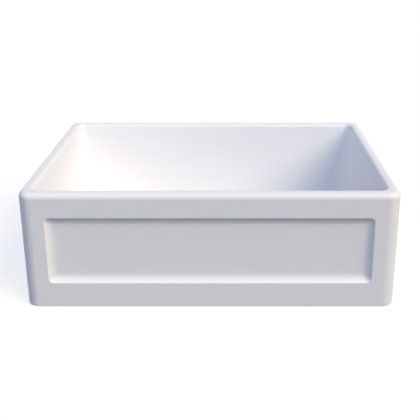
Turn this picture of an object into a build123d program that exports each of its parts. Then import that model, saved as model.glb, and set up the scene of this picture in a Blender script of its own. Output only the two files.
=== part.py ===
from build123d import *
import math
import os

# Farmhouse apron-front kitchen sink: one slip-cast fireclay body with a single bowl and a recessed
# panel on its apron, fitted with a basket strainer and a flanged tailpiece. Millimetres and degrees.
# Frame: the apron faces -Y, +X is to the right of someone facing it, +Z is up.
# Origin: the middle of the flat underside that the sink rests on. The drain fitting hangs below it.

# ---------------------------------------------------------------- fireclay body
sink_width = 762.0
sink_depth = 508.0
sink_height = 250.0
rim_width = 26.0
front_corner_radius = 27.0
back_corner_radius = 16.0
rim_outer_radius = 11.5
rim_inner_radius = 8.5
foot_radius = 2.0

bowl_draft = 1.5  # degrees that each bowl wall leans outwards
bowl_top_corner_radius = 14.0
bowl_cove_radius = 30.0
bowl_floor_corner_radius = 8.0  # of the floor's outline, inside the cove
bowl_fall_straight = 1.0  # straight left in each side of the fall's lower outline, else a circle
floor_thickness = 22.0  # fireclay under the bowl at the drain
floor_fall = 5.0  # how far the bowl's floor drops from its cove to the drain

panel_side_margin = 52.0
panel_top_margin = 51.3
panel_bottom_margin = 54.5
panel_recess_depth = 8.5
panel_cove_radius = 22.0
panel_cove_steps = 4
panel_corner_radius = 10.0
panel_inner_corner_radius = 1.5
panel_edge_radius = 1.0

drain_hole_radius = 45.0
underside_recess_depth = 6.0  # relief round the drain that lets the locknut clear what carries the sink
underside_recess_clearance = 16.0

# ---------------------------------------------------------------- strainer body and its clamp
flange_radius = 57.15
flange_thickness = 2.0
flange_edge_radius = 0.8
flange_dish = 0.6
flange_clearance = 1.85
seal_thickness = 1.5
seal_inset = 0.8
hole_clearance = 2.2
throat_wall = 2.4
throat_taper = 1.2
throat_mouth_radius = 2.6
thread_clearance = 0.1
thread_runout = 4.0
thread_end_round = 2.0
cup_floor_thickness = 2.4
cup_bottom_radius = 4.0
seat_fall = 1.6  # how far the cup's floor drops towards the outlet
gasket_thickness = 4.0
gasket_band = 13.0
friction_ring_thickness = 1.0
locknut_height = 12.0
locknut_flange_thickness = 3.5
locknut_wall = 6.0
locknut_flange_band = 12.0
locknut_lug_count = 6
locknut_lug_width = 11.0
locknut_lug_reach = 17.0

outlet_wall = 4.2
outlet_neck_length = 20.0
outlet_mouth_width = 4.5
outlet_mouth_depth = 1.6
outlet_mouth_round = 1.5
outlet_bore_round = 1.0
outlet_ledge = 1.0  # step in the bore that carries the cross of spokes
neck_round = 1.0
cross_ring_wall = 1.2
spoke_width = 3.0
spoke_height = 3.2
hub_wall = 3.0

# ---------------------------------------------------------------- tailpiece and its coupling
tailpiece_radius = 19.05
tailpiece_wall = 1.2
tailpiece_length = 101.6
tailpiece_flange_thickness = 1.5
tailpiece_flange_width = 3.9
tailpiece_flange_clearance = 0.5
washer_thickness = 2.0
coupling_wall = 4.6
coupling_shoulder = 3.0
coupling_overlap = 14.0  # how much of the outlet's thread the nut covers
coupling_shoulder_clearance = 0.65
coupling_bevel = 1.6

# ---------------------------------------------------------------- basket and its stem
seat_gap = 0.3  # stopper to its seat
basket_side_gap = 1.4  # basket rim to the strainer's throat
basket_rim_drop = 4.0  # below the strainer's flange
basket_sheet = 0.8
basket_rim_overhang = 2.0
basket_rim_bend = 1.0
basket_rim_round = 0.4
basket_taper = 7.0
basket_bottom_radius = 4.0
basket_slot_count = 16
basket_slot_width = 3.2
basket_slot_height = 12.0
basket_hole_radius = 2.2
basket_inner_hole_count = 8
basket_inner_hole_gap = 5.5  # from the collar to the middle of the inner holes
basket_outer_hole_count = 14
basket_outer_hole_gap = 3.6  # from the bend at the floor's edge to the middle of the outer holes
stem_radius = 3.0
stem_tip_radius = 2.0
stem_tip_reach = 12.0  # below the top of the hub
stem_tip_proud = 1.0  # below the clip
stem_tip_round = 0.5
stem_shoulder_width = 2.0
stem_collar_width = 3.0
stem_collar_thickness = 1.5
stem_collar_round = 0.4
stem_collar_fillet = 1.5
spin_clearance = 0.06
end_play = 0.3
fit_clearance = 0.02
knob_height = 15.0
knob_radius = 9.0
knob_waist_share = 0.45  # of the knob's height
knob_flare_share = 0.6
knob_foot_round = 0.6
knob_waist_round = 3.0
knob_flare_round = 1.5
knob_crown_round = 3.5
knob_socket_wall = 2.2
knob_socket_depth = 9.0
knob_proud = 7.0  # above the strainer's flange
backing_radius = 15.0
backing_thickness = 1.2
stopper_thickness = 4.5
stopper_side_gap = 2.5  # stopper's edge to the bend at the foot of the strainer's wall
stopper_edge_height = 2.8
stopper_lip_radius = 1.2
retainer_radius = 7.5
retainer_thickness = 1.8
retainer_round = 0.6
clip_wall = 1.3
clip_bulge = 0.4
clip_bulge_share = 0.3  # of the clip's length, up from its foot
clip_neck_share = 0.55
clip_foot_round = 0.5
clip_bulge_round = 0.8
clip_clearance = 0.3
clip_slot_width = 0.9
clip_slot_share = 0.75  # of the clip's length

# ---------------------------------------------------------------- heights and radii that follow
ledge_depth = seal_thickness + flange_thickness
ledge_z = floor_thickness - ledge_depth
ledge_radius = flange_radius + flange_clearance
flange_top_z = ledge_z + ledge_depth
thread_radius = drain_hole_radius - hole_clearance
throat_radius = thread_radius - throat_wall
cup_floor_radius = throat_radius - throat_taper
locknut_top_z = underside_recess_depth - gasket_thickness - friction_ring_thickness
locknut_bottom_z = locknut_top_z - locknut_height
locknut_lug_radius = thread_radius + locknut_lug_reach
underside_recess_radius = locknut_lug_radius + underside_recess_clearance
thread_end_z = locknut_bottom_z - thread_runout
seat_z = thread_end_z + cup_floor_thickness
outlet_top_z = seat_z - seat_fall
neck_bottom_z = thread_end_z - seat_fall - outlet_neck_length
tailpiece_bore_radius = tailpiece_radius - tailpiece_wall
tailpiece_flange_radius = tailpiece_radius + tailpiece_flange_width
tailpiece_top_z = neck_bottom_z - washer_thickness
tailpiece_shoulder_z = tailpiece_top_z - tailpiece_flange_thickness
tailpiece_bottom_z = tailpiece_top_z - tailpiece_length
outlet_thread_radius = tailpiece_flange_radius + tailpiece_flange_clearance
outlet_bore_radius = outlet_thread_radius - outlet_wall
outlet_mouth_radius = outlet_bore_radius + outlet_mouth_width
outlet_neck_radius = outlet_bore_radius - outlet_ledge
stopper_bottom_z = outlet_top_z + seat_gap
stopper_edge_radius = cup_floor_radius - cup_bottom_radius - stopper_side_gap
stopper_edge_share = (stopper_edge_radius - outlet_mouth_radius) / (cup_floor_radius - outlet_mouth_radius)
stopper_edge_z = stopper_bottom_z + seat_fall * stopper_edge_share
retainer_bottom_z = stopper_bottom_z - retainer_thickness
hub_top_z = retainer_bottom_z - seat_gap
clip_radius = stem_tip_radius + fit_clearance + clip_wall
hub_hole_radius = clip_radius + clip_bulge + clip_clearance
hub_radius = hub_hole_radius + hub_wall
cross_bottom_z = hub_top_z - spoke_height
backing_bottom_z = stopper_bottom_z + stopper_thickness
stem_shoulder_radius = stem_radius + stem_shoulder_width
stem_collar_radius = stem_shoulder_radius + stem_collar_width
knob_waist_radius = stem_radius + fit_clearance + knob_socket_wall
basket_floor_z = backing_bottom_z + backing_thickness + end_play
basket_rim_z = flange_top_z - basket_rim_drop
collar_bottom_z = basket_floor_z + basket_sheet + end_play
stem_tip_z = hub_top_z - stem_tip_reach
knob_top_z = flange_top_z + knob_proud
knob_bottom_z = knob_top_z - knob_height


def turned(*corners):
    """A solid of revolution about Z. Each corner of its outline is (radius, height, rounding)."""
    outline = make_face(Polyline([(r, z) for r, z, _ in corners], close=True))
    for r, z, rounding in corners:
        if rounding:
            corner = outline.vertices().sort_by_distance((r, z, 0))[0]
            outline = fillet(corner, rounding)
    return revolve(Plane.XZ * outline, Axis.Z)


def disc(radius, bottom_z, thickness):
    """A flat disc about Z."""
    return extrude(Pos(0, 0, bottom_z) * Circle(radius), amount=thickness)


def ring(inner_radius, outer_radius, bottom_z, thickness):
    """A flat ring about Z."""
    return disc(outer_radius, bottom_z, thickness) - disc(inner_radius, bottom_z, thickness)


def rounded_slab(width, depth, radius, z):
    """A rounded rectangle that lies flat at height z."""
    return Pos(0, 0, z) * RectangleRounded(width, depth, radius)


def bowl_cavity():
    """The space inside the bowl: drafted walls, a coved bottom, and a floor that falls to the drain."""
    cove_z = floor_thickness + floor_fall
    lean = (sink_height - cove_z) * math.tan(math.radians(bowl_draft))
    top_width = sink_width - 2 * rim_width
    top_depth = sink_depth - 2 * rim_width
    floor_width = top_width - 2 * lean
    floor_depth = top_depth - 2 * lean
    walls = loft(
        [
            rounded_slab(floor_width, floor_depth, bowl_floor_corner_radius + bowl_cove_radius, cove_z),
            rounded_slab(top_width, top_depth, bowl_top_corner_radius, sink_height),
        ],
        ruled=True,
    )
    walls = fillet(walls.edges().group_by(Axis.Z)[0], bowl_cove_radius)
    flat_width = floor_width - 2 * bowl_cove_radius
    flat_depth = floor_depth - 2 * bowl_cove_radius
    drain_square = 2 * ledge_radius
    drain_corner_radius = ledge_radius - bowl_fall_straight / 2
    falls = loft(
        [
            rounded_slab(drain_square, drain_square, drain_corner_radius, floor_thickness),
            rounded_slab(flat_width, flat_depth, bowl_floor_corner_radius, cove_z),
        ],
        ruled=True,
    )
    return walls + falls


def panel_recess():
    """The cutter for the apron's recessed panel: its walls sweep down to the panel on a wide cove."""
    width = sink_width - 2 * panel_side_margin
    height = sink_height - panel_top_margin - panel_bottom_margin
    middle_z = panel_bottom_margin + height / 2
    start_angle = math.acos(1 - panel_recess_depth / panel_cove_radius)
    run = panel_cove_radius * math.sin(start_angle)
    sections = []
    for step in range(panel_cove_steps + 1):
        angle = start_angle * (1 - step / panel_cove_steps)
        inset = run - panel_cove_radius * math.sin(angle)
        depth = panel_recess_depth - panel_cove_radius * (1 - math.cos(angle))
        shrink = (panel_corner_radius - panel_inner_corner_radius) * inset / run
        front = Plane(origin=(0, depth - sink_depth / 2, middle_z), x_dir=(1, 0, 0), z_dir=(0, -1, 0))
        outline = RectangleRounded(width - 2 * inset, height - 2 * inset, panel_corner_radius - shrink)
        sections.append(front * outline)
    return loft(sections)


def make_basin():
    """The fireclay body."""
    body = extrude(Rectangle(sink_width, sink_depth), amount=sink_height)
    corners = body.edges().filter_by(Axis.Z).group_by(Axis.Y)
    body = fillet(corners[0], front_corner_radius)
    corners = body.edges().filter_by(Axis.Z).group_by(Axis.Y)
    body = fillet(corners[-1], back_corner_radius)
    body = fillet(body.edges().group_by(Axis.Z)[0], foot_radius)
    body = fillet(body.edges().group_by(Axis.Z)[-1], rim_outer_radius)
    body -= bowl_cavity()
    rim_edges = body.edges().group_by(Axis.Z)[-1]
    mid_rim_x = sink_width / 2 - rim_width / 2
    mid_rim_y = sink_depth / 2 - rim_width / 2
    inner_rim = [e for e in rim_edges if abs(e.center().X) < mid_rim_x and abs(e.center().Y) < mid_rim_y]
    body = fillet(inner_rim, rim_inner_radius)
    body -= panel_recess()
    front_edges = body.edges().group_by(Axis.Y)[0]
    side_x = sink_width / 2 - panel_side_margin / 2
    low_z = panel_bottom_margin / 2
    high_z = sink_height - panel_top_margin / 2
    panel_edges = [e for e in front_edges if abs(e.center().X) < side_x and low_z < e.center().Z < high_z]
    body = fillet(panel_edges, panel_edge_radius)
    body -= disc(ledge_radius, ledge_z, ledge_depth)
    body -= disc(drain_hole_radius, 0, floor_thickness)
    body -= disc(underside_recess_radius, 0, underside_recess_depth)
    return body


def make_strainer_body():
    """The flanged, threaded cup that passes through the drain hole, and its outlet."""
    lip_z = flange_top_z - flange_dish
    return turned(
        (thread_radius, ledge_z + seal_thickness, 0),
        (flange_radius, ledge_z + seal_thickness, 0),
        (flange_radius, flange_top_z, flange_edge_radius),
        (throat_radius, lip_z, throat_mouth_radius),
        (cup_floor_radius, seat_z, cup_bottom_radius),
        (outlet_mouth_radius, outlet_top_z, outlet_mouth_round),
        (outlet_bore_radius, outlet_top_z - outlet_mouth_depth, outlet_bore_round),
        (outlet_bore_radius, cross_bottom_z, 0),
        (outlet_neck_radius, cross_bottom_z, 0),
        (outlet_neck_radius, neck_bottom_z, 0),
        (outlet_thread_radius, neck_bottom_z, 0),
        (outlet_thread_radius, thread_end_z - seat_fall, neck_round),
        (thread_radius, thread_end_z, thread_end_round),
    )


def make_strainer_cross():
    """The ring with four spokes and a hub that rests on the ledge in the outlet's bore."""
    rim = outlet_bore_radius - fit_clearance
    spokes = Rectangle(2 * rim, spoke_width) + Rectangle(spoke_width, 2 * rim) + Circle(hub_radius)
    outline = (spokes & Circle(rim)) + (Circle(rim) - Circle(rim - cross_ring_wall))
    return extrude(Pos(0, 0, cross_bottom_z) * (outline - Circle(hub_hole_radius)), amount=spoke_height)


def make_locknut():
    """The large clamping nut: a flanged ring with lugs for a spanner."""
    bore = Circle(thread_radius + thread_clearance)
    flange = Circle(thread_radius + locknut_flange_band) - bore
    wall = Circle(thread_radius + locknut_wall)
    lugs = Sketch() + [
        Rot(0, 0, 360 * i / locknut_lug_count)
        * Rectangle(locknut_lug_radius, locknut_lug_width, align=(Align.MIN, Align.CENTER))
        for i in range(locknut_lug_count)
    ]
    wall = (wall + (lugs & Circle(locknut_lug_radius))) - bore
    flange_part = extrude(Pos(0, 0, locknut_top_z) * flange, amount=-locknut_flange_thickness)
    return flange_part + extrude(Pos(0, 0, locknut_top_z) * wall, amount=-locknut_height)


def make_tailpiece():
    """The flanged tube that carries the water down to the trap."""
    return turned(
        (tailpiece_bore_radius, tailpiece_top_z, 0),
        (tailpiece_flange_radius, tailpiece_top_z, 0),
        (tailpiece_flange_radius, tailpiece_shoulder_z, 0),
        (tailpiece_radius, tailpiece_shoulder_z, 0),
        (tailpiece_radius, tailpiece_bottom_z, 0),
        (tailpiece_bore_radius, tailpiece_bottom_z, 0),
    )


def make_coupling_nut():
    """The hexagon nut that pulls the tailpiece's flange and washer against the strainer's outlet."""
    top_z = neck_bottom_z + coupling_overlap
    bottom_z = tailpiece_shoulder_z - coupling_shoulder
    bore_radius = outlet_thread_radius + thread_clearance
    outer_radius = bore_radius + coupling_wall
    hexagon = RegularPolygon(outer_radius, 6, major_radius=False)
    corner_radius = outer_radius / math.cos(math.radians(30))
    height = top_z - bottom_z
    blank = extrude(Pos(0, 0, bottom_z) * hexagon, amount=height)
    bevel = turned(
        (0, bottom_z, 0),
        (corner_radius - coupling_bevel, bottom_z, 0),
        (corner_radius, bottom_z + coupling_bevel, 0),
        (corner_radius, top_z - coupling_bevel, 0),
        (corner_radius - coupling_bevel, top_z, 0),
        (0, top_z, 0),
    )
    thread = disc(bore_radius, tailpiece_shoulder_z, height)
    passage = disc(tailpiece_radius + coupling_shoulder_clearance, bottom_z, height)
    return (blank & bevel) - thread - passage


def make_basket_cup():
    """The perforated basket: a tapered sheet cup with a turned-out rim."""
    rim_radius = throat_radius - basket_side_gap
    wall_top = rim_radius - basket_rim_overhang
    wall_bottom = wall_top - basket_taper
    hole = stem_shoulder_radius + spin_clearance
    sheet = basket_sheet
    floor_top_z = basket_floor_z + sheet
    cup = turned(
        (hole, basket_floor_z, 0),
        (wall_bottom, basket_floor_z, basket_bottom_radius),
        (wall_top, basket_rim_z - sheet, basket_rim_bend),
        (rim_radius, basket_rim_z - sheet, 0),
        (rim_radius, basket_rim_z, basket_rim_round),
        (wall_top - sheet, basket_rim_z, basket_rim_bend + sheet),
        (wall_bottom - sheet, floor_top_z, basket_bottom_radius - sheet),
        (hole, floor_top_z, 0),
    )
    slot_z = (basket_floor_z + basket_rim_z) / 2
    slot_plane = Plane(origin=(wall_bottom, 0, slot_z), x_dir=(0, 0, 1), z_dir=(1, 0, 0))
    slot_shape = slot_plane * SlotOverall(basket_slot_height, basket_slot_width)
    slot = extrude(slot_shape, amount=basket_taper, both=True)
    openings = [Rot(0, 0, 360 * i / basket_slot_count) * slot for i in range(basket_slot_count)]
    hole_drill = disc(basket_hole_radius, basket_floor_z, sheet)
    inner_ring = stem_collar_radius + basket_inner_hole_gap
    outer_ring = wall_bottom - basket_bottom_radius - basket_outer_hole_gap
    openings += [place * hole_drill for place in PolarLocations(inner_ring, basket_inner_hole_count)]
    openings += [place * hole_drill for place in PolarLocations(outer_ring, basket_outer_hole_count)]
    return cup - openings


def make_basket_post():
    """The stem: the basket turns on its shoulder, between the collar and the backing plate."""
    return turned(
        (0, stem_tip_z, 0),
        (stem_tip_radius, stem_tip_z, stem_tip_round),
        (stem_tip_radius, hub_top_z, 0),
        (stem_radius, hub_top_z, 0),
        (stem_radius, backing_bottom_z + backing_thickness, 0),
        (stem_shoulder_radius, backing_bottom_z + backing_thickness, 0),
        (stem_shoulder_radius, collar_bottom_z, 0),
        (stem_collar_radius, collar_bottom_z, stem_collar_round),
        (stem_collar_radius, collar_bottom_z + stem_collar_thickness, stem_collar_round),
        (stem_radius, collar_bottom_z + stem_collar_thickness, stem_collar_fillet),
        (stem_radius, knob_bottom_z + knob_socket_depth, 0),
        (0, knob_bottom_z + knob_socket_depth, 0),
    )


def make_basket_knob():
    """The pull knob, pushed on the stem's top."""
    socket = stem_radius + fit_clearance
    return turned(
        (socket, knob_bottom_z, 0),
        (knob_waist_radius, knob_bottom_z, knob_foot_round),
        (knob_waist_radius, knob_bottom_z + knob_waist_share * knob_height, knob_waist_round),
        (knob_radius, knob_bottom_z + knob_flare_share * knob_height, knob_flare_round),
        (knob_radius, knob_top_z, knob_crown_round),
        (0, knob_top_z, 0),
        (0, knob_bottom_z + knob_socket_depth, 0),
        (socket, knob_bottom_z + knob_socket_depth, 0),
    )


def make_stopper():
    """The rubber disc that closes the outlet. Its underside follows the slope of the seat."""
    hole = stem_radius + fit_clearance
    return turned(
        (hole, stopper_bottom_z, 0),
        (outlet_mouth_radius, stopper_bottom_z, 0),
        (stopper_edge_radius, stopper_edge_z, stopper_lip_radius),
        (stopper_edge_radius, stopper_edge_z + stopper_edge_height, stopper_lip_radius),
        (backing_radius, backing_bottom_z, 0),
        (hole, backing_bottom_z, 0),
    )


def make_stopper_retainer():
    """The flanged ferrule that holds the rubber up against its backing plate."""
    hole = stem_radius + fit_clearance
    return turned(
        (hole, retainer_bottom_z, 0),
        (retainer_radius, retainer_bottom_z, retainer_round),
        (retainer_radius, stopper_bottom_z, 0),
        (hole, stopper_bottom_z, 0),
    )


def make_post_clip():
    """The sprung sleeve at the stem's foot, slotted into four fingers with a bulge below the hub."""
    inner = stem_tip_radius + fit_clearance
    bottom_z = stem_tip_z + stem_tip_proud
    length = hub_top_z - bottom_z
    sleeve = turned(
        (inner, bottom_z, 0),
        (clip_radius, bottom_z, clip_foot_round),
        (clip_radius + clip_bulge, bottom_z + clip_bulge_share * length, clip_bulge_round),
        (clip_radius, bottom_z + clip_neck_share * length, 0),
        (clip_radius, hub_top_z, 0),
        (inner, hub_top_z, 0),
    )
    cross = Rectangle(4 * clip_radius, clip_slot_width) + Rectangle(clip_slot_width, 4 * clip_radius)
    return sleeve - extrude(Pos(0, 0, bottom_z) * cross, amount=clip_slot_share * length)


parts = {
    "basin": make_basin(),
    "flange_seal": ring(
        drain_hole_radius + seal_inset, flange_radius - seal_inset, ledge_z, seal_thickness
    ),
    "strainer_body": make_strainer_body(),
    "strainer_cross": make_strainer_cross(),
    "rubber_gasket": ring(
        thread_radius + thread_clearance,
        thread_radius + gasket_band,
        underside_recess_depth - gasket_thickness,
        gasket_thickness,
    ),
    "friction_ring": ring(
        thread_radius + thread_clearance,
        thread_radius + locknut_flange_band,
        locknut_top_z,
        friction_ring_thickness,
    ),
    "locknut": make_locknut(),
    "tailpiece_washer": ring(
        tailpiece_bore_radius, tailpiece_flange_radius, tailpiece_top_z, washer_thickness
    ),
    "coupling_nut": make_coupling_nut(),
    "tailpiece": make_tailpiece(),
    "basket_cup": make_basket_cup(),
    "basket_post": make_basket_post(),
    "basket_knob": make_basket_knob(),
    "stopper_backing": ring(
        stem_radius + fit_clearance, backing_radius, backing_bottom_z, backing_thickness
    ),
    "stopper": make_stopper(),
    "stopper_retainer": make_stopper_retainer(),
    "post_clip": make_post_clip(),
}

os.makedirs("parts", exist_ok=True)
for name, solid in parts.items():
    export_step(solid, f"parts/{name}.step")
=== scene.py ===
import math

import bmesh
import bpy
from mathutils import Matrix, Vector


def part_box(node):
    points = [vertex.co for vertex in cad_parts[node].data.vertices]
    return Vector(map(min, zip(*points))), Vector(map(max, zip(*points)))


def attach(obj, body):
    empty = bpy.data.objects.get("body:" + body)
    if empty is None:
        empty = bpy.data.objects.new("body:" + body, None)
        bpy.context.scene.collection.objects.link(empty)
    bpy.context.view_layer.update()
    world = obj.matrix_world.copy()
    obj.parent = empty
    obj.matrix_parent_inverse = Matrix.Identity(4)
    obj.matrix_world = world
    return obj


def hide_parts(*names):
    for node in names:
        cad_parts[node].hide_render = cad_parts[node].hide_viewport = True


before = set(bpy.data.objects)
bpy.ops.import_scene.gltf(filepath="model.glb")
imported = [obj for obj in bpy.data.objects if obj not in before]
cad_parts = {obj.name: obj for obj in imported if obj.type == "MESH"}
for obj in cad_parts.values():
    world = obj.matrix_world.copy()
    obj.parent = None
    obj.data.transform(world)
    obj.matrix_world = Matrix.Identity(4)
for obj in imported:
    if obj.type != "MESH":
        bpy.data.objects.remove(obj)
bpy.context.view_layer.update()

print("frame loaded:", ", ".join(sorted(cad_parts)))

scene = bpy.context.scene
scene.view_settings.view_transform = "Standard"


def mm(millimetres):
    return millimetres / 1000


def perPeriod(millimetres):
    return 1000 / millimetres  # a pattern's repeat in millimetres to Blender's scale per metre


def linearColour(hexCode):
    # sRGB hex to the linear values that the shaders work in
    channels = [int(hexCode[i:i + 2], 16) / 255 for i in (1, 3, 5)]
    return [c / 12.92 if c <= 0.04045 else ((c + 0.055) / 1.055) ** 2.4 for c in channels] + [1.0]


def addNode(tree, kind, settings=None, links=None):
    # one node, its settings by attribute or socket name, and its inputs wired from other nodes' sockets
    node = tree.nodes.new(kind)
    for key, value in (settings or {}).items():
        if isinstance(key, str) and hasattr(node, key):
            setattr(node, key, value)
        else:
            node.inputs[key].default_value = value
    for key, source in (links or {}).items():
        tree.links.new(source, node.inputs[key])
    return node


# camera: worked out from the vanishing points of the sink's edges in the photograph
cameraSettings = {
    "place": (0.0435, -1.4676, 0.7516),
    "tiltDown": 17.46,  # degrees below level
    "lens": 57.35,
    "shiftX": -0.0513,  # the shifts put the sink where it lies in the frame
    "shiftY": -0.1764,
}
cameraData = bpy.data.cameras.new("photoCamera")
cameraData.lens = cameraSettings["lens"]
cameraData.shift_x = cameraSettings["shiftX"]
cameraData.shift_y = cameraSettings["shiftY"]
photoCamera = bpy.data.objects.new("photoCamera", cameraData)
photoCamera.location = cameraSettings["place"]
photoCamera.rotation_euler = (math.radians(90 - cameraSettings["tiltDown"]), 0, 0)
scene.collection.objects.link(photoCamera)
scene.camera = photoCamera

# lights: a soft warm key from the front right, a weak cool fill from the front left, a level light from
# behind on the left for the sides that the camera doesn't see, and one from below for the underside
lightSettings = {
    "key": {"towards": (0.56, -0.42, 0.64), "strength": 2.65, "angle": 40, "colour": "#FFF0DB"},
    "fill": {"towards": (-0.40, -0.80, 0.45), "strength": 0.65, "angle": 70, "colour": "#BDD9FF"},
    "rear": {"towards": (-0.30, 1.0, 0.0), "strength": 1.9, "angle": 0, "colour": "#FFFBF6",
             "mirrored": False},
    "under": {"towards": (0.25, 0.35, -1.0), "strength": 1.1, "angle": 50, "colour": "#F4F6FF"},
}
for lampName, lamp in lightSettings.items():
    lampData = bpy.data.lights.new(lampName + "Light", "SUN")
    lampData.energy = lamp["strength"]
    lampData.angle = math.radians(lamp["angle"])  # a wide angle softens the shadow's edge
    lampData.color = linearColour(lamp["colour"])[:3]
    lampObject = bpy.data.objects.new(lampName + "Light", lampData)
    lampObject.rotation_euler = Vector(lamp["towards"]).to_track_quat("Z", "Y").to_euler()
    lampObject.visible_glossy = lamp.get("mirrored", True)  # off, it leaves no glare along the sides
    scene.collection.objects.link(lampObject)

# the room: a pale horizon that turns bluer overhead, and plain white wherever it is seen or mirrored
roomSettings = {
    "horizonColour": "#E3EDFF",
    "horizonStrength": 0.195,
    "zenithColour": "#A1C1FF",
    "zenithStrength": 0.365,
    "backdropColour": "#FFFFFF",
    "backdropStrength": 1.0,
}


def studioRoom(settings):
    world = bpy.data.worlds.new("studio")
    world.use_nodes = True
    tree = world.node_tree
    tree.nodes.clear()
    around = addNode(tree, "ShaderNodeTexCoord")
    axes = addNode(tree, "ShaderNodeSeparateXYZ", {}, {0: around.outputs["Generated"]})
    rise = addNode(tree, "ShaderNodeMapRange", {}, {"Value": axes.outputs["Z"]})
    horizon = addNode(tree, "ShaderNodeBackground", {"Color": linearColour(settings["horizonColour"]),
                                                     "Strength": settings["horizonStrength"]})
    zenith = addNode(tree, "ShaderNodeBackground", {"Color": linearColour(settings["zenithColour"]),
                                                    "Strength": settings["zenithStrength"]})
    room = addNode(tree, "ShaderNodeMixShader", {}, {0: rise.outputs[0], 1: horizon.outputs[0],
                                                     2: zenith.outputs[0]})
    backdrop = addNode(tree, "ShaderNodeBackground", {"Color": linearColour(settings["backdropColour"]),
                                                      "Strength": settings["backdropStrength"]})
    ray = addNode(tree, "ShaderNodeLightPath")
    seen = addNode(tree, "ShaderNodeMath", {"operation": "MAXIMUM"},
                   {0: ray.outputs["Is Camera Ray"], 1: ray.outputs["Is Glossy Ray"]})
    seenAny = addNode(tree, "ShaderNodeMath", {"operation": "MAXIMUM"},
                      {0: seen.outputs[0], 1: ray.outputs["Is Transmission Ray"]})
    mixed = addNode(tree, "ShaderNodeMixShader", {}, {0: seenAny.outputs[0], 1: room.outputs[0],
                                                      2: backdrop.outputs[0]})
    addNode(tree, "ShaderNodeOutputWorld", {}, {"Surface": mixed.outputs[0]})
    return world


scene.world = studioRoom(roomSettings)
print("camera and lights set:", ", ".join(lightSettings))


# materials: every pattern is placed in object space, its scale from the real size in millimetres
def newMaterial(name):
    material = bpy.data.materials.new(name)
    material.use_nodes = True
    material.node_tree.nodes.clear()
    return material, material.node_tree


# fireclay, slip cast, sprayed with an opaque white glaze and fired on its bare foot: a soft even white
# whose reflections waver a little, with dry sandy clay wherever the glaze was wiped off
glazeSettings = {
    "glaze": "#FBFBFB",
    "glazeDeep": "#F8F9FA",  # a little cooler where the sprayed glaze lies thicker
    "cloudMm": 140,
    "cloudDetail": 2.0,
    "peelMm": 11,  # soft orange peel of a sprayed glaze, coarser than real to show at all
    "peelDetail": 1.0,
    "peelDepth": mm(0.035),
    "rippleMm": 60,  # slow unevenness that a cast wall keeps
    "rippleDetail": 1.0,
    "rippleDepth": mm(0.10),
    "roughness": (0.27, 0.33),
    "reflection": 0.3,  # specular level: the photographed glaze mirrors its room less than glass does
    "biscuit": "#DCCFB8",
    "biscuitDark": "#B9A88C",
    "biscuitRoughness": 0.85,
    "grogMm": 1.6,  # grains of fired clay in the bare body, coarser than real
    "grogDetail": 4.0,
    "grogRoughness": 0.65,
    "grogRange": (0.42, 0.66),  # part of the noise that goes from light clay to dark grain
    "grogDepth": mm(0.12),
    "lineHeight": mm(0.9),  # the glaze is wiped off the foot up to here
    "lineWander": mm(0.5),
    "undersideHeight": mm(8),  # downward faces below this are bare as well
    "undersideFacing": -0.7,
    "drainReach": mm(100),  # and so is every face as low as this near the drain
}


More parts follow.
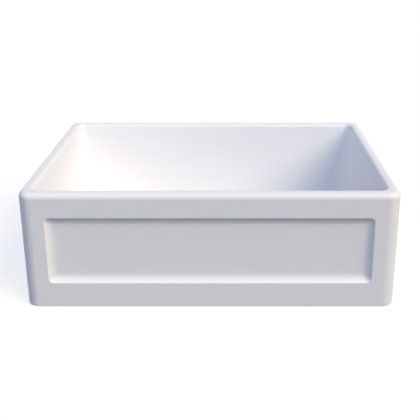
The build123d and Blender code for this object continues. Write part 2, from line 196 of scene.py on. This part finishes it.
def glazedFireclay(name, settings):
    material, tree = newMaterial(name)
    place = addNode(tree, "ShaderNodeTexCoord")
    where = place.outputs["Object"]
    cloud = addNode(tree, "ShaderNodeTexNoise", {"Scale": perPeriod(settings["cloudMm"]),
                                                 "Detail": settings["cloudDetail"]}, {"Vector": where})
    ripple = addNode(tree, "ShaderNodeTexNoise", {"Scale": perPeriod(settings["rippleMm"]),
                                                  "Detail": settings["rippleDetail"]}, {"Vector": where})
    peel = addNode(tree, "ShaderNodeTexNoise", {"Scale": perPeriod(settings["peelMm"]),
                                                "Detail": settings["peelDetail"]}, {"Vector": where})
    grog = addNode(tree, "ShaderNodeTexNoise", {"Scale": perPeriod(settings["grogMm"]),
                                                "Detail": settings["grogDetail"],
                                                "Roughness": settings["grogRoughness"]}, {"Vector": where})

    # bare clay: below the line round the foot, on the underside, and in the ring round the drain's seat
    axes = addNode(tree, "ShaderNodeSeparateXYZ", {}, {0: where})
    line = addNode(tree, "ShaderNodeMath", {"operation": "MULTIPLY_ADD", 1: settings["lineWander"],
                                            2: settings["lineHeight"]}, {0: ripple.outputs[0]})
    foot = addNode(tree, "ShaderNodeMath", {"operation": "LESS_THAN"},
                   {0: axes.outputs["Z"], 1: line.outputs[0]})
    surface = addNode(tree, "ShaderNodeNewGeometry")
    facing = addNode(tree, "ShaderNodeSeparateXYZ", {}, {0: surface.outputs["True Normal"]})
    down = addNode(tree, "ShaderNodeMath", {"operation": "LESS_THAN", 1: settings["undersideFacing"]},
                   {0: facing.outputs["Z"]})
    away = addNode(tree, "ShaderNodeVectorMath", {"operation": "LENGTH"}, {0: where})
    drain = addNode(tree, "ShaderNodeMath", {"operation": "LESS_THAN", 1: settings["drainReach"]},
                    {0: away.outputs["Value"]})
    either = addNode(tree, "ShaderNodeMath", {"operation": "MAXIMUM"},
                     {0: down.outputs[0], 1: drain.outputs[0]})
    low = addNode(tree, "ShaderNodeMath", {"operation": "LESS_THAN", 1: settings["undersideHeight"]},
                  {0: axes.outputs["Z"]})
    under = addNode(tree, "ShaderNodeMath", {"operation": "MULTIPLY"},
                    {0: either.outputs[0], 1: low.outputs[0]})
    wiped = addNode(tree, "ShaderNodeMath", {"operation": "MAXIMUM"},
                    {0: foot.outputs[0], 1: under.outputs[0]})

    glaze = addNode(tree, "ShaderNodeMix", {"data_type": "RGBA", 6: linearColour(settings["glaze"]),
                                            7: linearColour(settings["glazeDeep"])}, {0: cloud.outputs[0]})
    flecks = addNode(tree, "ShaderNodeMapRange", {"From Min": settings["grogRange"][0],
                                                  "From Max": settings["grogRange"][1]},
                     {"Value": grog.outputs[0]})
    clay = addNode(tree, "ShaderNodeMix", {"data_type": "RGBA", 6: linearColour(settings["biscuit"]),
                                           7: linearColour(settings["biscuitDark"])},
                   {0: flecks.outputs[0]})
    colour = addNode(tree, "ShaderNodeMix", {"data_type": "RGBA"},
                     {0: wiped.outputs[0], 6: glaze.outputs[2], 7: clay.outputs[2]})
    glazeGloss = addNode(tree, "ShaderNodeMapRange", {"To Min": settings["roughness"][0],
                                                      "To Max": settings["roughness"][1]},
                         {"Value": cloud.outputs[0]})
    roughness = addNode(tree, "ShaderNodeMix", {"data_type": "FLOAT", 3: settings["biscuitRoughness"]},
                        {0: wiped.outputs[0], 2: glazeGloss.outputs[0]})
    swell = addNode(tree, "ShaderNodeBump", {"Distance": settings["rippleDepth"], "Strength": 1.0},
                    {"Height": ripple.outputs[0]})
    skin = addNode(tree, "ShaderNodeBump", {"Distance": settings["peelDepth"], "Strength": 1.0},
                   {"Height": peel.outputs[0], "Normal": swell.outputs[0]})
    grain = addNode(tree, "ShaderNodeBump", {"Distance": settings["grogDepth"]},
                    {"Height": grog.outputs[0], "Strength": wiped.outputs[0], "Normal": skin.outputs[0]})
    shader = addNode(tree, "ShaderNodeBsdfPrincipled", {"Specular IOR Level": settings["reflection"]},
                     {"Base Color": colour.outputs[2], "Roughness": roughness.outputs[0],
                      "Normal": grain.outputs[0]})
    addNode(tree, "ShaderNodeOutputMaterial", {}, {"Surface": shader.outputs[0]})
    return material


# metals turned, spun or polished about the drain's axis: fine lines run round them, which drag the
# highlights out; the lines are coarser than real, because real ones are too fine to show
metalSettings = {
    # stainless steel sheet, spun and pressed to shape: bright grey with lively rings
    "spunStainlessSteel": {"colour": "#C4C3BF", "worn": "#B3B2AE", "roughness": (0.20, 0.34),
                           "lineMm": 0.35, "lineDepth": mm(0.012)},
    # stainless steel, turned and satin finished: a greyer grey with broad dull highlights
    "satinStainlessSteel": {"colour": "#B4B3AF", "worn": "#A5A4A0", "roughness": (0.32, 0.44),
                            "lineMm": 0.45, "lineDepth": mm(0.018)},
    # brass, polished and chrome plated: a cold mirror, its lines all but gone
    "chromePlatedBrass": {"colour": "#D3D6D9", "worn": "#C9CDD1", "roughness": (0.05, 0.10),
                          "lineMm": 1.4, "lineDepth": mm(0.004)},
}
lineSettings = {  # the same for all turned metals
    "climb": 0.83,  # height's part in the lines' spacing; at 1 they would vanish on a 45 degree chamfer
    "detail": 3.0,
    "roughness": 0.6,
    "strength": 0.6,
    "smearMm": 22,  # slow patches of handling over the lines
    "smearDetail": 3.0,
    "glossRange": (0.1, 0.4),  # part of lines times smear that goes from smooth to rough
}


def turnedMetal(name, settings, shared):
    material, tree = newMaterial(name)
    place = addNode(tree, "ShaderNodeTexCoord")
    flat = addNode(tree, "ShaderNodeVectorMath", {"operation": "MULTIPLY", 1: (1, 1, 0)},
                   {0: place.outputs["Object"]})
    away = addNode(tree, "ShaderNodeVectorMath", {"operation": "LENGTH"}, {0: flat.outputs[0]})
    around = addNode(tree, "ShaderNodeVectorMath", {"operation": "NORMALIZE"}, {0: flat.outputs[0]})
    axes = addNode(tree, "ShaderNodeSeparateXYZ", {}, {0: place.outputs["Object"]})
    # distance along the outline, so that the lines ring walls, cones and flat faces alike
    along = addNode(tree, "ShaderNodeMath", {"operation": "MULTIPLY_ADD", 1: shared["climb"]},
                    {0: axes.outputs["Z"], 2: away.outputs["Value"]})
    rings = addNode(tree, "ShaderNodeMath", {"operation": "MULTIPLY", 1: perPeriod(settings["lineMm"])},
                    {0: along.outputs[0]})
    turn = addNode(tree, "ShaderNodeSeparateXYZ", {}, {0: around.outputs[0]})
    track = addNode(tree, "ShaderNodeCombineXYZ", {}, {"X": turn.outputs["X"], "Y": turn.outputs["Y"],
                                                       "Z": rings.outputs[0]})
    lines = addNode(tree, "ShaderNodeTexNoise", {"Scale": 1.0, "Detail": shared["detail"],
                                                 "Roughness": shared["roughness"]},
                    {"Vector": track.outputs[0]})
    smear = addNode(tree, "ShaderNodeTexNoise", {"Scale": perPeriod(shared["smearMm"]),
                                                 "Detail": shared["smearDetail"]},
                    {"Vector": place.outputs["Object"]})
    colour = addNode(tree, "ShaderNodeMix", {"data_type": "RGBA", 6: linearColour(settings["colour"]),
                                             7: linearColour(settings["worn"])}, {0: lines.outputs[0]})
    both = addNode(tree, "ShaderNodeMath", {"operation": "MULTIPLY"},
                   {0: lines.outputs[0], 1: smear.outputs[0]})
    gloss = addNode(tree, "ShaderNodeMapRange", {"From Min": shared["glossRange"][0],
                                                 "From Max": shared["glossRange"][1],
                                                 "To Min": settings["roughness"][0],
                                                 "To Max": settings["roughness"][1]},
                    {"Value": both.outputs[0]})
    groove = addNode(tree, "ShaderNodeBump", {"Distance": settings["lineDepth"],
                                              "Strength": shared["strength"]},
                     {"Height": lines.outputs[0]})
    shader = addNode(tree, "ShaderNodeBsdfPrincipled", {"Metallic": 1.0},
                     {"Base Color": colour.outputs[2], "Roughness": gloss.outputs[0],
                      "Normal": groove.outputs[0]})
    addNode(tree, "ShaderNodeOutputMaterial", {}, {"Surface": shader.outputs[0]})
    return material


# parts with a grain all over: the grain of the rubbers and the fibre is coarser than real, so that it shows
grainySettings = {
    # brass, sand cast and left as it came: dull yellow with a pitted skin
    "sandCastBrass": {"colour": "#B8975C", "dark": "#8C6E3C", "metallic": 1.0, "roughness": (0.38, 0.58),
                      "grainMm": 1.3, "grainDepth": mm(0.10), "patchMm": 18},
    # black rubber, moulded: near black and matt, with a faint even grain
    "mouldedBlackRubber": {"colour": "#202122", "dark": "#161617", "metallic": 0.0,
                           "roughness": (0.50, 0.68), "grainMm": 0.9, "grainDepth": mm(0.02),
                           "patchMm": 12},
    # charcoal rubber, moulded: a greyer and drier black, as of a softer seal
    "mouldedCharcoalRubber": {"colour": "#3B3C3E", "dark": "#2E2F31", "metallic": 0.0,
                              "roughness": (0.55, 0.72), "grainMm": 0.9, "grainDepth": mm(0.02),
                              "patchMm": 12},
    # grey rubber, moulded: milky light grey, a little smoother than the black
    "mouldedGreyRubber": {"colour": "#C9C9C4", "dark": "#B6B6B0", "metallic": 0.0,
                          "roughness": (0.45, 0.60), "grainMm": 0.9, "grainDepth": mm(0.015),
                          "patchMm": 9},
    # fibre board, pressed: dry blotchy brown without a highlight
    "pressedFibre": {"colour": "#8A6547", "dark": "#6A4B32", "metallic": 0.0, "roughness": (0.80, 0.92),
                     "grainMm": 0.7, "grainDepth": mm(0.05), "patchMm": 5},
}
grainSettings = {  # the same for all of them
    "detail": 3.0,
    "strength": 0.8,
    "patchDetail": 4.0,
    "patchRange": (0.35, 0.65),  # part of the noise that goes from the light tone to the dark one
}


def grainyMaterial(name, settings, shared):
    material, tree = newMaterial(name)
    place = addNode(tree, "ShaderNodeTexCoord")
    grain = addNode(tree, "ShaderNodeTexNoise", {"Scale": perPeriod(settings["grainMm"]),
                                                 "Detail": shared["detail"]},
                    {"Vector": place.outputs["Object"]})
    patch = addNode(tree, "ShaderNodeTexNoise", {"Scale": perPeriod(settings["patchMm"]),
                                                 "Detail": shared["patchDetail"]},
                    {"Vector": place.outputs["Object"]})
    tone = addNode(tree, "ShaderNodeMapRange", {"From Min": shared["patchRange"][0],
                                                "From Max": shared["patchRange"][1]},
                   {"Value": patch.outputs[0]})
    colour = addNode(tree, "ShaderNodeMix", {"data_type": "RGBA", 6: linearColour(settings["colour"]),
                                             7: linearColour(settings["dark"])}, {0: tone.outputs[0]})
    gloss = addNode(tree, "ShaderNodeMapRange", {"To Min": settings["roughness"][0],
                                                 "To Max": settings["roughness"][1]},
                    {"Value": grain.outputs[0]})
    relief = addNode(tree, "ShaderNodeBump", {"Distance": settings["grainDepth"],
                                              "Strength": shared["strength"]},
                     {"Height": grain.outputs[0]})
    shader = addNode(tree, "ShaderNodeBsdfPrincipled", {"Metallic": settings["metallic"]},
                     {"Base Color": colour.outputs[2], "Roughness": gloss.outputs[0],
                      "Normal": relief.outputs[0]})
    addNode(tree, "ShaderNodeOutputMaterial", {}, {"Surface": shader.outputs[0]})
    return material


materials = {"glazedFireclay": glazedFireclay("glazedFireclay", glazeSettings)}
for name, settings in metalSettings.items():
    materials[name] = turnedMetal(name, settings, lineSettings)
for name, settings in grainySettings.items():
    materials[name] = grainyMaterial(name, settings, grainSettings)

nodeMaterials = {
    "basin": "glazedFireclay",
    "flange_seal": "mouldedCharcoalRubber",
    "strainer_body": "spunStainlessSteel",
    "strainer_cross": "spunStainlessSteel",
    "rubber_gasket": "mouldedBlackRubber",
    "friction_ring": "pressedFibre",
    "locknut": "sandCastBrass",
    "tailpiece_washer": "mouldedGreyRubber",
    "coupling_nut": "chromePlatedBrass",
    "tailpiece": "chromePlatedBrass",
    "basket_cup": "spunStainlessSteel",
    "basket_post": "satinStainlessSteel",
    "basket_knob": "chromePlatedBrass",
    "stopper_backing": "satinStainlessSteel",
    "stopper": "mouldedBlackRubber",
    "stopper_retainer": "satinStainlessSteel",
    "post_clip": "satinStainlessSteel",
}
for nodeName, materialName in nodeMaterials.items():
    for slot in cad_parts[nodeName].material_slots:
        slot.material = materials[materialName]
print("materials made:", ", ".join(materials))

# strainer body: the solid's own outline turned again, with the two screw threads cut into it
strainerSettings = {
    # radius, height and rounding of each corner, in millimetres, as in the CAD solid
    "outline": [
        (42.80, 20.00, 0), (57.15, 20.00, 0), (57.15, 22.00, 0.8), (40.40, 21.40, 2.6),
        (39.20, -12.60, 4.0), (23.75, -14.20, 1.5), (19.25, -15.80, 1.0), (19.25, -19.20, 0),
        (18.25, -19.20, 0), (18.25, -36.60, 0), (23.45, -36.60, 0), (23.45, -16.60, 1.0),
        (42.80, -15.00, 2.0),
    ],
    "sides": 180,
    "arcSteps": 6,
    "threads": [  # radius of the crest, lowest and highest point of the cut
        {"radius": 42.80, "from": -12.90, "to": -4.00},
        {"radius": 23.45, "from": -34.00, "to": -17.80},
    ],
    "pitch": 2.21,  # 11-1/2 threads to the inch
    "depth": 1.05,
    "flankTop": 0.72,  # where the flank meets the crest, on a scale of 0 in the groove's middle to 1
    "flankWidth": 0.5,  # on the same scale
    "runOut": 1.2,
    "step": 0.18,
    "tolerance": 0.001,  # how near a side of the outline lies to a thread's radius
    "sharpAngle": 38,  # degrees
}


def roundedOutline(corners, arcSteps):
    # the closed outline with an arc at each rounded corner
    points = []
    for i, (radius, height, rounding) in enumerate(corners):
        here = Vector((radius, height))
        if not rounding:
            points.append(here)
            continue
        toLast = (Vector(corners[i - 1][:2]) - here).normalized()
        toNext = (Vector(corners[(i + 1) % len(corners)][:2]) - here).normalized()
        half = toLast.angle(toNext) / 2
        centre = here + (toLast + toNext).normalized() * (rounding / math.sin(half))
        first = here + toLast * (rounding / math.tan(half)) - centre
        last = here + toNext * (rounding / math.tan(half)) - centre
        sweep = first.angle(last)
        for k in range(arcSteps + 1):
            share = k / arcSteps
            spoke = first * math.sin((1 - share) * sweep) + last * math.sin(share * sweep)
            points.append(centre + spoke / math.sin(sweep))
    return points


def threadCut(settings, thread, height, turnShare):
    # how deep the screw's groove is at this height, a blunt V that fades at both ends
    phase = (height / settings["pitch"] + turnShare) % 1
    ramp = min(abs(phase - 0.5) * 2, 1)  # 0 in the middle of the groove, 1 on the crest
    groove = min(max((settings["flankTop"] - ramp) / settings["flankWidth"], 0), 1)
    toEnd = min(height - thread["from"], thread["to"] - height)
    fade = min(toEnd / settings["runOut"], 1)
    return settings["depth"] * groove * max(fade, 0)


def turnStrainer(settings):
    outline = roundedOutline(settings["outline"], settings["arcSteps"])
    points = []  # outline points with the thread that cuts each, if any
    for i, here in enumerate(outline):
        nextOne = outline[(i + 1) % len(outline)]
        points.append((here, None))
        for thread in settings["threads"]:
            offThread = max(abs(here.x - thread["radius"]), abs(nextOne.x - thread["radius"]))
            if offThread < settings["tolerance"]:
                low, high = thread["from"], thread["to"]
                count = round((high - low) / settings["step"])
                heights = [low + (high - low) * k / count for k in range(count + 1)]
                if nextOne.y < here.y:
                    heights.reverse()
                points += [(Vector((here.x, height)), thread) for height in heights]
    bm = bmesh.new()
    rows = []
    for side in range(settings["sides"]):
        share = side / settings["sides"]
        angle = 2 * math.pi * share
        row = []
        for point, thread in points:
            radius = point.x - (threadCut(settings, thread, point.y, share) if thread else 0)
            corner = (mm(radius * math.cos(angle)), mm(radius * math.sin(angle)), mm(point.y))
            row.append(bm.verts.new(corner))
        rows.append(row)
    for side in range(settings["sides"]):
        row, nextRow = rows[side], rows[(side + 1) % settings["sides"]]
        for k in range(len(points)):
            m = (k + 1) % len(points)
            bm.faces.new((row[k], nextRow[k], nextRow[m], row[m]))
    bmesh.ops.recalc_face_normals(bm, faces=bm.faces)
    mesh = bpy.data.meshes.new("threadedStrainer")
    bm.to_mesh(mesh)
    bm.free()
    mesh.shade_smooth()
    mesh.set_sharp_from_angle(angle=math.radians(settings["sharpAngle"]))
    mesh.materials.append(materials["spunStainlessSteel"])
    piece = bpy.data.objects.new("threadedStrainer", mesh)
    scene.collection.objects.link(piece)
    return piece


threadedStrainer = turnStrainer(strainerSettings)
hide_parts("strainer_body")
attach(threadedStrainer, "sink")
print("strainer turned and threaded:", len(threadedStrainer.data.polygons), "faces")

# floor: a pale painted board that keeps the sink's shadow, cut out under the foot so that views from below
# see the underside; bounced light meets a darker paint than the camera sees, matched to the photograph
floorSettings = {
    "reach": 6.0,
    "inset": mm(2.5),  # the floor stops under the foot's edge
    "frontRadius": mm(27),
    "backRadius": mm(16),
    "arcSteps": 8,
    "paint": "#A8A8A8",
    "glowStrength": 0.72,  # lifts the lit floor to the backdrop's white
    "bouncePaint": "#565656",
}


def paleFloor(name, settings):
    material, tree = newMaterial(name)
    paint = addNode(tree, "ShaderNodeBsdfDiffuse", {"Color": linearColour(settings["paint"])})
    glow = addNode(tree, "ShaderNodeEmission", {"Color": linearColour("#FFFFFF"),
                                                "Strength": settings["glowStrength"]})
    lifted = addNode(tree, "ShaderNodeAddShader", {}, {0: paint.outputs[0], 1: glow.outputs[0]})
    ray = addNode(tree, "ShaderNodeLightPath")
    seen = addNode(tree, "ShaderNodeMath", {"operation": "MAXIMUM"},
                   {0: ray.outputs["Is Camera Ray"], 1: ray.outputs["Is Glossy Ray"]})
    dark = addNode(tree, "ShaderNodeBsdfDiffuse", {"Color": linearColour(settings["bouncePaint"])})
    top = addNode(tree, "ShaderNodeMixShader", {},
                  {0: seen.outputs[0], 1: dark.outputs[0], 2: lifted.outputs[0]})
    clear = addNode(tree, "ShaderNodeBsdfTransparent")
    side = addNode(tree, "ShaderNodeNewGeometry")
    fromBelow = addNode(tree, "ShaderNodeMath", {"operation": "MULTIPLY"},
                        {0: side.outputs["Backfacing"], 1: seen.outputs[0]})
    both = addNode(tree, "ShaderNodeMixShader", {},
                   {0: fromBelow.outputs[0], 1: top.outputs[0], 2: clear.outputs[0]})
    addNode(tree, "ShaderNodeOutputMaterial", {}, {"Surface": both.outputs[0]})
    return material


def layFloor(settings):
    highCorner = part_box("basin")[1]
    halfWidth = highCorner[0] - settings["inset"]
    halfDepth = highCorner[1] - settings["inset"]
    bm = bmesh.new()
    outer = [bm.verts.new((settings["reach"] * sx, settings["reach"] * sy, 0))
             for sx, sy in ((-1, -1), (1, -1), (1, 1), (-1, 1))]
    hole = []
    for quarter, (sx, sy) in enumerate(((1, -1), (1, 1), (-1, 1), (-1, -1))):
        cornerRadius = settings["frontRadius"] if sy < 0 else settings["backRadius"]
        radius = cornerRadius - settings["inset"]
        for k in range(settings["arcSteps"] + 1):
            angle = math.radians(90 * (quarter - 1 + k / settings["arcSteps"]))
            hole.append(bm.verts.new((sx * (halfWidth - radius) + radius * math.cos(angle),
                                      sy * (halfDepth - radius) + radius * math.sin(angle), 0)))
    edges = [bm.edges.new((outer[i], outer[(i + 1) % 4])) for i in range(4)]
    edges += [bm.edges.new((hole[i], hole[(i + 1) % len(hole)])) for i in range(len(hole))]
    bmesh.ops.triangle_fill(bm, edges=edges, use_beauty=True, normal=(0, 0, 1))
    mesh = bpy.data.meshes.new("floor")
    bm.to_mesh(mesh)
    bm.free()
    mesh.materials.append(paleFloor("paleFloor", settings))
    floor = bpy.data.objects.new("floor", mesh)
    scene.collection.objects.link(floor)
    return floor


layFloor(floorSettings)
print("floor laid")
